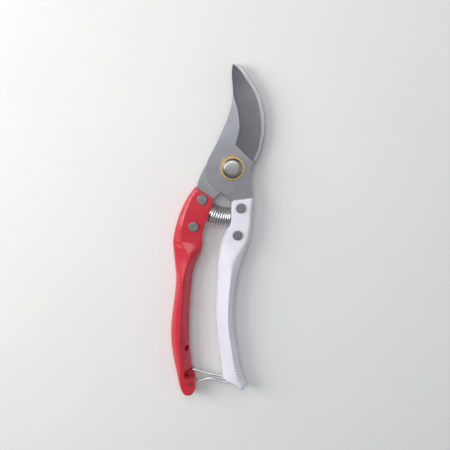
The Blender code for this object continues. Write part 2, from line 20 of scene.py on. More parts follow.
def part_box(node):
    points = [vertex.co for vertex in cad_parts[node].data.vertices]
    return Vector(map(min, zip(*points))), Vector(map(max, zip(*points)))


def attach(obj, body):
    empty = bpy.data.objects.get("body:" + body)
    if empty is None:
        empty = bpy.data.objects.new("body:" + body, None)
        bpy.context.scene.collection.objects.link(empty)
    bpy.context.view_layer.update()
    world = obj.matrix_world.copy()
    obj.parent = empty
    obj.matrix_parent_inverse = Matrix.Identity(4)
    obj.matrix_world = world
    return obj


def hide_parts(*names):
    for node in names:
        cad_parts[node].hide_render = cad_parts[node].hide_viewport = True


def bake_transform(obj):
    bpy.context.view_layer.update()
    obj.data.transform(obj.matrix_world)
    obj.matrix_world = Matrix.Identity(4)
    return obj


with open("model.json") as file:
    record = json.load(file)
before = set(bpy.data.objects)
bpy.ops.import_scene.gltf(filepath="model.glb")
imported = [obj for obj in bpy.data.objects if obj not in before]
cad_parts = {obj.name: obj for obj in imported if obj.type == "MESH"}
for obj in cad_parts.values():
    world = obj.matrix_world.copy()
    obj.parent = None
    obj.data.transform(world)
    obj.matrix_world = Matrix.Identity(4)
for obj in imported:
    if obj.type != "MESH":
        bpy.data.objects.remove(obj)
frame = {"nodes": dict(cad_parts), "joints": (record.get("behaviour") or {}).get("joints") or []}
log = logging.getLogger("pruner")

MM = 0.001
Flat = tuple[float, float]
Colour = tuple[float, float, float]


class Body(Enum):
    """The frame's moving bodies."""

    HOOK_SIDE = "hook_side"
    BLADE_SIDE = "blade_side"
    CATCH = "catch"


# ---- the frame's own measures ----------------------------------------------------------------------

def joint_centre(name: str) -> Vector:
    """Finds where a joint's axis stands.

    Args:
        name: The joint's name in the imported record.

    Returns:
        A point on the axis, in metres.
    """
    joint = next(joint for joint in frame["joints"] if joint["name"] == name)
    return Vector(joint["pos_m"])


BOLT = joint_centre("blade_pivot")
MIDDLE = BOLT.z / MM                      # height of the plane where the two blades meet
PIN = ((joint_centre("catch_swing") - BOLT) / MM).xy
CLEARANCE = 0.3                           # between neighbouring pieces
BELOW_ALL = -1.0                          # heights that clear the whole tool, for holes right through
ABOVE_ALL = 16.0


def span(node: str) -> Flat:
    """Reads how high a frame node lies.

    Args:
        node: The node's name.

    Returns:
        Its lowest and highest height in millimetres.
    """
    low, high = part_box(node)
    return low.z / MM, high.z / MM


def centre_and_radius(node: str) -> tuple[Flat, float]:
    """Reads the place and the size of an upright round node.

    Args:
        node: The node's name.

    Returns:
        Its centre from the bolt's axis and its radius, in millimetres.
    """
    low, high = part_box(node)
    middle = ((low + high) / 2 - BOLT) / MM
    return (middle.x, middle.y), (high.x - low.x) / 2 / MM


# ---- curves ----------------------------------------------------------------------------------------

def curve_through(points: Sequence[tuple[float, ...]], spacing: float) -> list[tuple[float, ...]]:
    """Draws a smooth curve (Catmull-Rom) through points of any number of coordinates.

    Args:
        points: The points, whose first two coordinates are a place in millimetres.
        spacing: The most that two neighbouring results may lie apart.

    Returns:
        The curve's points, with both ends kept.
    """
    ends = [points[0], *points, points[-1]]
    curve = []
    for a, b, c, d in zip(ends, ends[1:], ends[2:], ends[3:]):
        steps = max(1, math.ceil(math.dist(b[:2], c[:2]) / spacing))
        for step in range(steps):
            t = step / steps
            weights = (-t + 2 * t**2 - t**3, 2 - 5 * t**2 + 3 * t**3, t + 4 * t**2 - 3 * t**3, t**3 - t**2)
            curve.append(tuple(sum(w * p for w, p in zip(weights, four)) / 2 for four in zip(a, b, c, d)))
    return curve + [tuple(points[-1])]


def outline(*runs: Sequence[Flat], spacing: float = 1.2) -> list[Flat]:
    """Joins smooth runs that meet in corners.

    Args:
        *runs: The runs in order; one of two points is a straight line.
        spacing: The most that two neighbouring points of a smooth run lie apart.

    Returns:
        The closed outline's points.
    """
    points = []
    for run in runs:
        smooth = curve_through(run, spacing) if len(run) > 2 else list(run)
        points += smooth[:-1]
    return points


def circle(centre: Flat, radius: float, count: int = 48) -> list[Flat]:
    """Spaces points round a circle.

    Args:
        centre: The circle's centre.
        radius: Its radius.
        count: How many points it gets.

    Returns:
        The points, anticlockwise.
    """
    turns = [2 * math.pi * i / count for i in range(count)]
    return [(centre[0] + radius * math.cos(a), centre[1] + radius * math.sin(a)) for a in turns]


def ease(low: float, high: float, value: float) -> float:
    """Rises smoothly from 0 at low to 1 at high.

    Args:
        low: Where the rise starts.
        high: Where it ends.
        value: The place asked for.

    Returns:
        The height of the rise there.
    """
    share = min(max((value - low) / (high - low), 0.0), 1.0)
    return share * share * (3 - 2 * share)


def round_over(distance: float, radius: float) -> float:
    """Gives how far a rounded end draws in.

    Args:
        distance: How far from the end the place lies.
        radius: The rounding's radius.

    Returns:
        The inset, which is the radius at the very end.
    """
    if distance >= radius:
        return 0.0
    return radius - math.sqrt(radius**2 - (radius - distance)**2)


# ---- blanks ----------------------------------------------------------------------------------------

class Blank:
    """A mesh that is being shaped, in millimetres from the bolt's axis."""

    def __init__(self, bm: bmesh.types.BMesh) -> None:
        """Takes over a mesh."""
        self.bm = bm

    @classmethod
    def plate(cls, points: Sequence[Flat], bottom: float, top: float, rim: float = 0.0) -> "Blank":
        """Cuts a flat plate.

        Args:
            points: The plate's outline.
            bottom: Height of its lower face.
            top: Height of its upper face.
            rim: Width of the rounding along both rims.

        Returns:
            The plate.
        """
        bm = bmesh.new()
        face = bm.faces.new([bm.verts.new((x, y, bottom)) for x, y in points])
        raised = bmesh.ops.extrude_face_region(bm, geom=[face])["geom"]
        lifted = [item for item in raised if isinstance(item, bmesh.types.BMVert)]
        bmesh.ops.translate(bm, vec=(0, 0, top - bottom), verts=lifted)
        bmesh.ops.recalc_face_normals(bm, faces=bm.faces)
        if rim:
            rims = [e for e in bm.edges if abs(e.verts[0].co.z - e.verts[1].co.z) < 1e-6]
            bmesh.ops.bevel(bm, geom=rims, offset=rim, segments=2, affect="EDGES", profile=0.5,
                            clamp_overlap=True, material=-1)
        return cls(bm)

    @classmethod
    def turned(cls, profile: Sequence[Flat], centre: Flat = (0.0, 0.0), steps: int = 72) -> "Blank":
        """Turns a solid about an upright axis.

        Args:
            profile: Points (radius, height), both ends on the axis.
            centre: Where the axis stands.
            steps: How many facets go round.

        Returns:
            The turned solid.
        """
        bm = bmesh.new()
        verts = [bm.verts.new((radius, 0.0, height)) for radius, height in profile]
        edges = [bm.edges.new(pair) for pair in zip(verts, verts[1:])]
        bmesh.ops.spin(bm, geom=verts + edges, axis=(0, 0, 1), cent=(0, 0, 0), angle=2 * math.pi,
                       steps=steps, use_merge=True)
        bmesh.ops.remove_doubles(bm, verts=bm.verts, dist=0.001)
        bmesh.ops.translate(bm, vec=(*centre, 0), verts=bm.verts)
        bmesh.ops.recalc_face_normals(bm, faces=bm.faces)
        return cls(bm)

    @classmethod
    def skin(cls, rings: Sequence[Sequence[Vector]]) -> "Blank":
        """Stretches a grid over rings, joins its long seam and closes both ends.

        Args:
            rings: Closed rings of the same number of points.

        Returns:
            The closed skin.
        """
        bm = bmesh.new()
        across, along = len(rings[0]), len(rings) - 1
        bmesh.ops.create_grid(bm, x_segments=across, y_segments=along, size=1.0)
        for vert in bm.verts:
            column = round((vert.co.x + 1) / 2 * across) % across
            row = round((vert.co.y + 1) / 2 * along)
            vert.co = rings[row][column]
        bmesh.ops.remove_doubles(bm, verts=bm.verts, dist=1e-5)
        bmesh.ops.holes_fill(bm, edges=bm.edges[:])
        bmesh.ops.recalc_face_normals(bm, faces=bm.faces)
        return cls(bm)

    @classmethod
    def sweep(cls, route: Sequence[Vector], radius: float, sides: int = 14) -> "Blank":
        """Draws a round wire along a route.

        Args:
            route: The middle of the wire.
            radius: The wire's radius.
            sides: How many facets go round it.

        Returns:
            The wire, with its ends rounded a little.
        """
        rings = []
        side = Vector((0, 0, 1))
        ends = [(0, 0.7), (0, 0.93), *((i, 1.0) for i in range(1, len(route) - 1)),
                (len(route) - 1, 0.93), (len(route) - 1, 0.7)]
        for number, (i, share) in enumerate(ends):
            ahead = (route[min(i + 1, len(route) - 1)] - route[max(i - 1, 0)]).normalized()
            side = (side - ahead * side.dot(ahead)).normalized()
            across = ahead.cross(side)
            tuck = radius * 0.22 * ((number == 1) - (number == len(ends) - 2))
            turns = [2 * math.pi * k / sides for k in range(sides)]
            middle = route[i] + ahead * tuck
            rings.append([middle + radius * share * (math.cos(a) * side + math.sin(a) * across)
                          for a in turns])
        return cls.skin(rings)

    @classmethod
    def rod(cls, start: Vector, direction: Vector, radius: float, depth: float) -> "Blank":
        """Makes a round rod or drill.

        Args:
            start: The middle of its first end.
            direction: Which way it runs.
            radius: Its radius.
            depth: Its length.

        Returns:
            The rod.
        """
        bm = bmesh.new()
        bmesh.ops.create_cone(bm, cap_ends=True, segments=40, radius1=radius, radius2=radius, depth=depth)
        turn = Vector((0, 0, 1)).rotation_difference(direction).to_matrix().to_4x4()
        move = Matrix.Translation(start + direction.normalized() * depth / 2)
        bmesh.ops.transform(bm, matrix=move @ turn, verts=bm.verts)
        return cls(bm)

    def loose(self, name: str) -> bpy.types.Object:
        """Puts the mesh in an object of its own, still in millimetres.

        Args:
            name: The object's name.

        Returns:
            The object.
        """
        mesh = bpy.data.meshes.new(name)
        self.bm.to_mesh(mesh)
        self.bm.free()
        obj = bpy.data.objects.new(name, mesh)
        bpy.context.scene.collection.objects.link(obj)
        return obj

    def cut_by(self, *cutters: "Blank") -> "Blank":
        """Takes away what cutters cover.

        Args:
            *cutters: The closed blanks to cut with, which are used up.

        Returns:
            The cut blank.
        """
        work = self.loose("work")
        tools = [cutter.loose("tool") for cutter in cutters]
        for tool in tools:
            cut = work.modifiers.new("cut", "BOOLEAN")
            cut.operation = "DIFFERENCE"
            cut.solver = "EXACT"
            cut.object = tool
        graph = bpy.context.evaluated_depsgraph_get()
        mesh = bpy.data.meshes.new_from_object(work.evaluated_get(graph))
        bm = bmesh.new()
        bm.from_mesh(mesh)
        for obj in [work, *tools]:
            bpy.data.objects.remove(obj, do_unlink=True)
        return Blank(bm)

    def piece(self, name: str, finish: "Finish", sharp: float = 35.0) -> bpy.types.Object:
        """Finishes the mesh as one piece of the tool.

        Args:
            name: The piece's name.
            finish: Its finish.
            sharp: Edges bent more than this many degrees stay crisp.

        Returns:
            The piece, at the origin with its place in its mesh.
        """
        bmesh.ops.transform(self.bm, matrix=Matrix.Translation((BOLT.x, BOLT.y, 0)) @ Matrix.Scale(MM, 4),
                            verts=self.bm.verts)
        mesh = bpy.data.meshes.new(name)
        self.bm.to_mesh(mesh)
        self.bm.free()
        mesh.materials.clear()
        mesh.materials.append(finish.material())
        mesh.shade_smooth()
        mesh.set_sharp_from_angle(angle=math.radians(sharp))
        obj = bpy.data.objects.new(name, mesh)
        bpy.context.scene.collection.objects.link(obj)
        weigh = obj.modifiers.new("level_faces", "WEIGHTED_NORMAL")
        weigh.keep_sharp = True
        return obj


# ---- finishes --------------------------------------------------------------------------------------

class NodeSheet:
    """The node tree of one material, with short calls that add nodes and join them."""

    def __init__(self, name: str) -> None:
        """Starts a tree that has only its shader and output."""
        self.material = bpy.data.materials.new(name)
        self.material.use_nodes = True
        self.tree = self.material.node_tree
        self.shader = self.tree.nodes["Principled BSDF"]
        self.coordinates = self.tree.nodes.new("ShaderNodeTexCoord").outputs["Object"]

    def set(self, **values: float | Colour) -> None:
        """Sets the shader's own sockets.

        Args:
            **values: Numbers or colours by socket name, with _ for a space.
        """
        for name, value in values.items():
            socket = self.shader.inputs[name.replace("_", " ").title()]
            socket.default_value = (*value, 1.0) if isinstance(value, tuple) else value

    def join(self, source: bpy.types.NodeSocket, name: str) -> None:
        """Feeds one of the shader's sockets."""
        self.tree.links.new(source, self.shader.inputs[name])

    def place(self, cell: Colour, centre: Colour = (0, 0, 0), turn: float = 0.0) -> bpy.types.NodeSocket:
        """Lays a pattern on the piece.

        Args:
            cell: Size of one cell of the pattern, in metres.
            centre: Where the pattern is centred, in metres.
            turn: How far it is turned about the upright axis, in degrees.

        Returns:
            The pattern's coordinates.
        """
        mapping = self.tree.nodes.new("ShaderNodeMapping")
        mapping.vector_type = "TEXTURE"
        mapping.inputs["Location"].default_value = centre
        mapping.inputs["Rotation"].default_value = (0, 0, math.radians(turn))
        mapping.inputs["Scale"].default_value = cell
        self.tree.links.new(self.coordinates, mapping.inputs["Vector"])
        return mapping.outputs["Vector"]

    def noise(self, where: bpy.types.NodeSocket, detail: float = 2.0) -> bpy.types.NodeSocket:
        """Adds a cloudy pattern.

        Args:
            where: Coordinates in cells.
            detail: How much finer noise lies in it.

        Returns:
            The pattern, from 0 to 1.
        """
        node = self.tree.nodes.new("ShaderNodeTexNoise")
        node.inputs["Scale"].default_value = 1.0
        node.inputs["Detail"].default_value = detail
        self.tree.links.new(where, node.inputs["Vector"])
        return node.outputs["Fac"]

    def rings(self, where: bpy.types.NodeSocket) -> bpy.types.NodeSocket:
        """Adds lathe rings, one for each cell, about the upright axis.

        Args:
            where: Coordinates in cells.

        Returns:
            The pattern, from 0 to 1.
        """
        node = self.tree.nodes.new("ShaderNodeTexWave")
        node.wave_type = "RINGS"
        node.rings_direction = "Z"
        node.inputs["Scale"].default_value = 0.314
        node.inputs["Distortion"].default_value = 0.6
        self.tree.links.new(where, node.inputs["Vector"])
        return node.outputs["Fac"]

    def spread(self, value: bpy.types.NodeSocket, out: Flat,
               taken: Flat = (0.3, 0.7)) -> bpy.types.NodeSocket:
        """Maps a value to another range.

        Args:
            value: The value, mostly inside taken.
            out: The range it is mapped to.
            taken: The range it is mapped from.

        Returns:
            The mapped value.
        """
        node = self.tree.nodes.new("ShaderNodeMapRange")
        node.inputs["From Min"].default_value, node.inputs["From Max"].default_value = taken
        node.inputs["To Min"].default_value, node.inputs["To Max"].default_value = out
        self.tree.links.new(value, node.inputs["Value"])
        return node.outputs["Result"]

    def blend(self, share: bpy.types.NodeSocket, first: Colour | bpy.types.NodeSocket,
              second: Colour) -> bpy.types.NodeSocket:
        """Mixes two colours.

        Args:
            share: How much of the second there is.
            first: The first colour, or a socket that gives it.
            second: The second colour.

        Returns:
            The mixed colour.
        """
        node = self.tree.nodes.new("ShaderNodeMix")
        node.data_type = "RGBA"
        self.tree.links.new(share, node.inputs["Factor"])
        if isinstance(first, tuple):
            node.inputs[6].default_value = (*first, 1.0)
        else:
            self.tree.links.new(first, node.inputs[6])
        node.inputs[7].default_value = (*second, 1.0)
        return node.outputs[2]

    def bump(self, height: bpy.types.NodeSocket, depth: float, strength: float,
             under: bpy.types.NodeSocket | None = None) -> bpy.types.NodeSocket:
        """Raises a pattern.

        Args:
            height: The pattern.
            depth: How deep it goes, in metres.
            strength: How much of it shows.
            under: A coarser bump that it lies on.

        Returns:
            The bent normal.
        """
        node = self.tree.nodes.new("ShaderNodeBump")
        node.inputs["Distance"].default_value = depth
        node.inputs["Strength"].default_value = strength
        self.tree.links.new(height, node.inputs["Height"])
        if under is not None:
            self.tree.links.new(under, node.inputs["Normal"])
        return node.outputs["Normal"]


@dataclass(frozen=True)
class Finish:
    """What every finish has: a name, the record's slot it answers to, and a colour."""

    name: str
    slot: str
    colour: Colour

    def material(self) -> bpy.types.Material:
        """Gives the finish's material, made on first use.

        Returns:
            The material.
        """
        found = bpy.data.materials.get(self.name)
        return found or self.make()

    def make(self) -> bpy.types.Material:
        """Writes the material's nodes.

        Returns:
            The material.
        """
        raise NotImplementedError


@dataclass(frozen=True)
class Enamel(Finish):
    """Glossy stoved enamel on a die casting, with orange peel and a slightly uneven coat."""

    thin: Colour            # where the coat is thin
    roughness: Flat = (0.24, 0.36)
    cloud: float = 0.014    # size of the uneven patches, in metres
    peel: float = 0.0011    # size of the orange peel
    grain: float = 0.00022  # size of the fine grit under the coat

    def make(self) -> bpy.types.Material:
        """Writes the material's nodes.

        Returns:
            The material.
        """
        sheet = NodeSheet(self.name)
        sheet.set(metallic=0.0, coat_weight=0.35, coat_roughness=0.12)
        clouds = sheet.noise(sheet.place((self.cloud,) * 3), detail=4.0)
        grit = sheet.noise(sheet.place((self.grain,) * 3), detail=3.0)
        peel = sheet.noise(sheet.place((self.peel,) * 3), detail=1.0)
        base = sheet.blend(sheet.spread(clouds, (0.0, 0.55)), self.colour, self.thin)
        flecked = sheet.blend(sheet.spread(grit, (0.0, 0.3), (0.58, 0.75)), base, self.thin)
        sheet.join(flecked, "Base Color")
        sheet.join(sheet.spread(clouds, self.roughness), "Roughness")
        waves = sheet.bump(peel, 0.00002, 0.35)
        sheet.join(sheet.bump(grit, 0.000006, 0.3, waves), "Normal")
        return sheet.material


@dataclass(frozen=True)
class BrushedSteel(Finish):
    """Steel with grinding lines one way, soft clouds and a few longer scratches."""

    dark: Colour
    roughness: Flat = (0.3, 0.44)
    turn: float = 90.0          # the way the lines run, in degrees from X
    line: float = 0.00013       # width of one line, in metres
    run: float = 0.012          # length of one line
    depth: float = 0.000006
    cloud: float = 0.011

    def make(self) -> bpy.types.Material:
        """Writes the material's nodes.

        Returns:
            The material.
        """
        sheet = NodeSheet(self.name)
        sheet.set(metallic=1.0)
        lines = sheet.noise(sheet.place((self.run, self.line, self.line), turn=self.turn), detail=3.0)
        long_cell = (self.run * 3, self.line * 3.5, self.line * 3.5)
        scratches = sheet.noise(sheet.place(long_cell, turn=self.turn + 7), detail=0.0)
        clouds = sheet.noise(sheet.place((self.cloud,) * 3), detail=3.0)
        base = sheet.blend(sheet.spread(clouds, (0.0, 0.8)), self.colour, self.dark)
        lined = sheet.blend(sheet.spread(lines, (0.0, 0.35), (0.45, 0.7)), base, self.dark)
        sheet.join(lined, "Base Color")
        sheet.join(sheet.spread(lines, self.roughness), "Roughness")
        deep = sheet.bump(sheet.spread(scratches, (1.0, 0.0), (0.70, 0.76)), self.depth, 0.5)
        sheet.join(sheet.bump(lines, self.depth, 0.55, deep), "Normal")
        return sheet.material


@dataclass(frozen=True)
class TurnedMetal(Finish):
    """Metal faced on a lathe, with fine rings about an upright axis and a clouded plating."""

    dark: Colour
    centre: Flat = (0.0, 0.0)   # the lathe's axis, in metres
    pitch: float = 0.00022
    roughness: Flat = (0.22, 0.38)
    depth: float = 0.000005

    def make(self) -> bpy.types.Material:
        """Writes the material's nodes.

        Returns:
            The material.
        """
        sheet = NodeSheet(self.name)
        sheet.set(metallic=1.0)
        rings = sheet.rings(sheet.place((self.pitch,) * 3, centre=(*self.centre, 0)))
        clouds = sheet.noise(sheet.place((0.0025,) * 3), detail=4.0)
        sheet.join(sheet.blend(sheet.spread(clouds, (0.0, 0.9)), self.colour, self.dark), "Base Color")
        sheet.join(sheet.spread(clouds, self.roughness), "Roughness")
        sheet.join(sheet.bump(rings, self.depth, 0.4), "Normal")
        return sheet.material


# ---- sub-assemblies --------------------------------------------------------------------------------

@dataclass(frozen=True)
class SubAssembly:
    """Pieces that are built and dressed together."""

    def fit(self, piece: bpy.types.Object, body: Body, finish: Finish, *nodes: str) -> bpy.types.Object:
        """Fastens a piece to its body in place of the frame's plain solid.

        Args:
            piece: The finished piece.
            body: The body that carries it.
            finish: Not used.
            *nodes: The frame nodes it stands for.

        Returns:
            The same piece.
        """
        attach(piece, body.value)
        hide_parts(*nodes)
        log.info("%s: %d faces, on %s", piece.name, len(piece.data.polygons), body.value)
        return piece


def rivet_holes(rivets: Sequence[str], bottom: float, top: float) -> list[Blank]:
    """Makes the drills for rivets' shanks.

    Args:
        rivets: The rivets' frame nodes.
        bottom: Height that the drills start from.
        top: Height that they reach.

    Returns:
        One drill for each rivet.
    """
    radius = RivetSet.shank_radius + CLEARANCE
    return [Blank.plate(circle(centre_and_radius(rivet)[0], radius), bottom, top) for rivet in rivets]


@dataclass(frozen=True)
class Station:
    """One cross-section of a handle, from its outer side to its inner side."""

    outer: Flat
    inner: Flat
    crest: float              # how far across the ridge lies
    pad: float                # 1 where the section is the flat riveted pad, 0 where it is the ridged grip
    outer_slope: float = 0.0  # share of the width that the pad's outer side slopes over
    inner_slope: float = 0.0


# Half a section from the outer side to the inner side: (share of the width, share of the height)
GRIP_HALF = ((0, 0), (0.02, 0.3), (0.1, 0.56), (0.26, 0.8), (0.42, 0.97), (0.5, 1.0),
             (0.56, 0.94), (0.72, 0.7), (0.88, 0.44), (0.97, 0.24), (1, 0))
PAD_SHARE = 0.77
# The pad's, with how much of its outer and inner slope each point is set back by
PAD_HALF = ((0, 0, 0, 0), (0, 0.3, 0, 0), (0.02, 0.5, 0.4, 0), (0.07, 0.68, 1, 0), (0.13, 0.76, 1, 0),
            (0.3, PAD_SHARE, 0.6, 0), (0.6, PAD_SHARE, 0, 0.3), (0.9, PAD_SHARE, 0, 1),
            (0.97, 0.75, 0, 1), (1, 0.68, 0, 1), (1, 0, 0, 0))


@dataclass(frozen=True)
class Handle(SubAssembly):
    """A die-cast handle: a flat pad for the blade's tang, then a ridged grip with ribs on its outer side."""

    node: str
    body: Body
    finish: Finish
    stations: tuple[Station, ...]
    rivets: tuple[str, ...]
    rib_from: float             # where the ribs start and end along Y
    rib_to: float
    rib_pitch: float = 2.0
    rib_depth: float = 0.42
    rib_reach: float = 0.27     # how far across the handle the ribs come
    half_height: float = 7.0
    spacing: float = 0.25
    front_round: float = 0.7
    tail_round: float = 2.2

    def section(self, sample: Sequence[float]) -> list[tuple[float, Vector]]:
        """Shapes one ring of the handle.

        Args:
            sample: A station's values in one row.

        Returns:
            Each point with its share of the way across.
        """
        outer, inner = Vector(sample[0:2]), Vector(sample[2:4])
        crest, pad, outer_slope, inner_slope = sample[4:]
        pad = min(max(pad, 0.0), 1.0)
        front = []
        for (grip_u, grip_h), (pad_u, pad_h, outer_lean, inner_lean) in zip(fine_half(GRIP_HALF),
                                                                            fine_half(PAD_HALF)):
            shifted = 2 * crest * grip_u if grip_u <= 0.5 else 1 - 2 * (1 - crest) * (1 - grip_u)
            sloped = pad_u + outer_slope * outer_lean - inner_slope * inner_lean
            front.append((shifted + (sloped - shifted) * pad, grip_h + (pad_h - grip_h) * pad))
        back = [(u, -h) for u, h in reversed(front[1:-1])]
        return [(u, Vector((*outer.lerp(inner, u), MIDDLE + self.half_height * h))) for u, h in front + back]

    def groove(self, along: float) -> float:
        """Gives how deep the ribbing is cut at a place along the handle.

        Args:
            along: The place's Y.

        Returns:
            The depth at the handle's outer side.
        """
        fade = ease(self.rib_from + 3, self.rib_from, along) if along > self.rib_from else 1.0
        inside = ease(self.rib_to - 1.5, self.rib_to + 1.5, along) * fade
        wave = 0.5 - 0.5 * math.cos(2 * math.pi * (along - self.rib_from) / self.rib_pitch)
        return self.rib_depth * inside * (0.25 + 0.75 * wave)

    def rings(self) -> list[list[Vector]]:
        """Works out the handle's skin.

        Returns:
            Its rings from the pad's end to the tail.
        """
        rows = [(*s.outer, *s.inner, s.crest, s.pad, s.outer_slope, s.inner_slope) for s in self.stations]
        samples = curve_through(rows, self.spacing)
        middles = [Vector(((s[0] + s[2]) / 2, (s[1] + s[3]) / 2, MIDDLE)) for s in samples]
        gone = [0.0]
        for before, after in zip(middles, middles[1:]):
            gone.append(gone[-1] + (after - before).length)
        rings = []
        for sample, middle, travelled in zip(samples, middles, gone):
            inset = round_over(travelled, self.front_round)
            inset += round_over(gone[-1] - travelled, self.tail_round)
            groove = self.groove(sample[1])
            ring = []
            for share, point in self.section(sample):
                ribbed = groove * (1 - ease(self.rib_reach * 0.72, self.rib_reach, share))
                towards = middle - point
                pull = min(inset + ribbed, towards.length * 0.9)
                ring.append(point + towards.normalized() * pull)
            rings.append(ring)
        return rings

    def cutters(self) -> list[Blank]:
        """Makes the cutters that every handle needs: its rivet holes.

        Returns:
            The cutters.
        """
        return rivet_holes(self.rivets, BELOW_ALL, ABOVE_ALL)

    def build(self) -> bpy.types.Object:
        """Casts the handle, cuts it and paints it.

        Returns:
            The finished handle.
        """
        blank = Blank.skin(self.rings()).cut_by(*self.cutters())
        piece = blank.piece(self.node + "_cast", self.finish, 40.0)
        return self.fit(piece, self.body, self.finish, self.node)


@lru_cache
def fine_half(profile: tuple[tuple[float, ...], ...], steps: int = 3) -> list[tuple[float, ...]]:
    """Smooths half a section with the same number of points between each two of its own.

    Args:
        profile: The half-section.
        steps: How many pieces each stretch is cut into.

    Returns:
        The finer half-section.
    """
    spread_out = [(10.0 * i, 0.0, *point) for i, point in enumerate(profile)]
    return [row[2:] for row in curve_through(spread_out, 10.0 / steps)]


@dataclass(frozen=True)
class RedHandle(Handle):
    """The handle that holds the hooked blade, forked at its tail for the catch."""

    wire_slot: float = 1.1       # half the height of the catch's slot
    pin_bore: float = 1.3
    hole_radius: float = 1.9     # the blind hole in the grip's inner slope
    hole_depth: float = 6.0

    hole_mouth = (-19.7, -112.0, 11.3)
    hole_way = (-0.75, 0.0, -0.66)

    def cutters(self) -> list[Blank]:
        """Adds the tang's slot, the fork with its window, the holes and the spring's seat.

        Returns:
            The cutters.
        """
        low, high = span("hook_blade")
        tang = Blank.plate(outline(HOOK_SLOT), low - CLEARANCE, high + CLEARANCE)
        fork = Blank.plate(outline(RED_CATCH_SLOT), MIDDLE - self.wire_slot, MIDDLE + self.wire_slot)
        pin_hole = Blank.plate(circle(PIN, self.pin_bore), BELOW_ALL, ABOVE_ALL)
        window = Blank.plate(outline(CATCH_WINDOW), MIDDLE, ABOVE_ALL)
        slope_hole = Blank.rod(Vector(self.hole_mouth), Vector(self.hole_way), self.hole_radius,
                               self.hole_depth)
        return [*super().cutters(), *CoilSpring.seat(Body.HOOK_SIDE), tang, fork, window, pin_hole,
                slope_hole]


@dataclass(frozen=True)
class WhiteHandle(Handle):
    """The handle that holds the cutting blade, scooped at its tail where the catch hooks in."""

    wire_slot: float = 1.1

    def cutters(self) -> list[Blank]:
        """Adds the tang's slot, the tail's scoop, the catch's slot and the spring's seat.

        Returns:
            The cutters.
        """
        low, high = span("cutting_blade")
        tang = Blank.plate(outline(BLADE_SLOT), low - CLEARANCE, high + CLEARANCE)
        far_right = (SCOOP[-1][0], PAST_TAIL)
        far_left = (SCOOP[0][0], PAST_TAIL)
        scooped = outline(SCOOP, [SCOOP[-1], far_right], [far_right, far_left], [far_left, SCOOP[0]],
                          spacing=0.5)
        scoop = Blank.plate(scooped, BELOW_ALL, ABOVE_ALL)
        slot = Blank.plate(outline(WHITE_CATCH_SLOT), MIDDLE - self.wire_slot, MIDDLE + self.wire_slot)
        return [*super().cutters(), *CoilSpring.seat(Body.BLADE_SIDE), tang, scoop, slot]


HOOK_SLOT = [(-3.5, -10.0), (-8.8, -19.7), (-12.6, -23.6), (-14.2, -28.0), (-15.1, -33.0), (-15.5, -38.0),
             (-16.2, -43.9), (-19.5, -46.4), (-24.4, -45.3), (-26.3, -41.2), (-26.1, -34.0), (-24.7, -26.0),
             (-22.6, -18.5), (-21.1, -12.0), (-18.0, -6.0)]
RED_CATCH_SLOT = [(-12.0, -124.4), (-19.1, -124.6), (-20.4, -128.0), (-21.3, -133.0), (-21.4, -137.0),
                  (-20.6, -145.0), (-10.0, -145.0)]
CATCH_WINDOW = [(-12.0, -124.4), (-19.1, -124.6), (-21.6, -127.0), (-21.4, -130.4), (-19.0, -131.2),
                (-12.0, -131.0)]
BLADE_SLOT = [(14.5, -12.0), (13.0, -22.0), (12.8, -31.0), (12.0, -40.4), (10.2, -46.2), (5.6, -48.3),
              (1.7, -46.4), (1.1, -40.0), (2.3, -34.0), (2.4, -26.8), (1.3, -23.2), (-0.5, -20.2),
              (-1.0, -12.0)]
WHITE_CATCH_SLOT = [(-2.0, -128.85), (2.7, -128.85), (2.9, -127.4), (5.8, -126.8), (7.4, -128.6),
                    (7.7, -131.2), (7.6, -133.6), (7.2, -137.2), (-2.0, -137.2)]
SCOOP = [(0.0, -129.2), (2.1, -130.0), (5.6, -131.4), (8.8, -132.3), (11.5, -133.7), (13.2, -135.8),
         (15.0, -138.2)]
PAST_TAIL = -141.0      # where the scoop's cutter ends, past the handle


